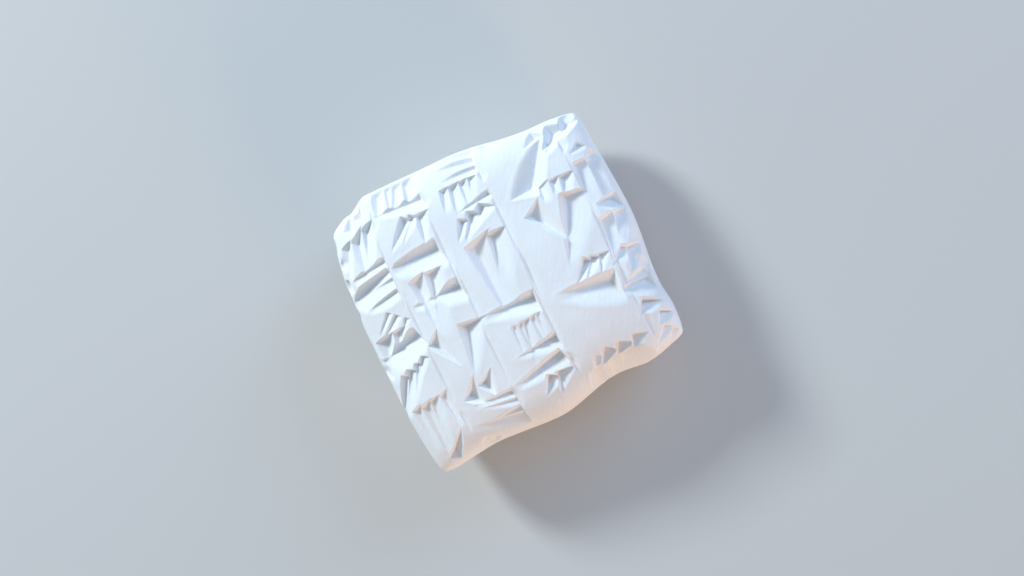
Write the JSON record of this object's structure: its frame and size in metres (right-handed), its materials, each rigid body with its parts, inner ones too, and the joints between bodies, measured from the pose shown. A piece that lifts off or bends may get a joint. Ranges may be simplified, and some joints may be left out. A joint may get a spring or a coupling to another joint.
{
  "type": "cuneiform tablet",
  "caption": "Small square cushion-shaped clay tablet with rows of pressed wedge strokes on both faces, lying on its back.",
  "frame": {"origin": "on the flat of the underside, at the middle of the outline's box", "axes": "+X along the rows of strokes in reading order, +Y up the written face, +Z out of the written face"},
  "size_m": [0.0326, 0.0332, 0.0127],
  "materials": {
    "clay": "matt, unglazed, nearly white, with fine brushed grain"
  },
  "bodies": {
    "root": {"tablet": "clay"}
  },
  "joints": []
}
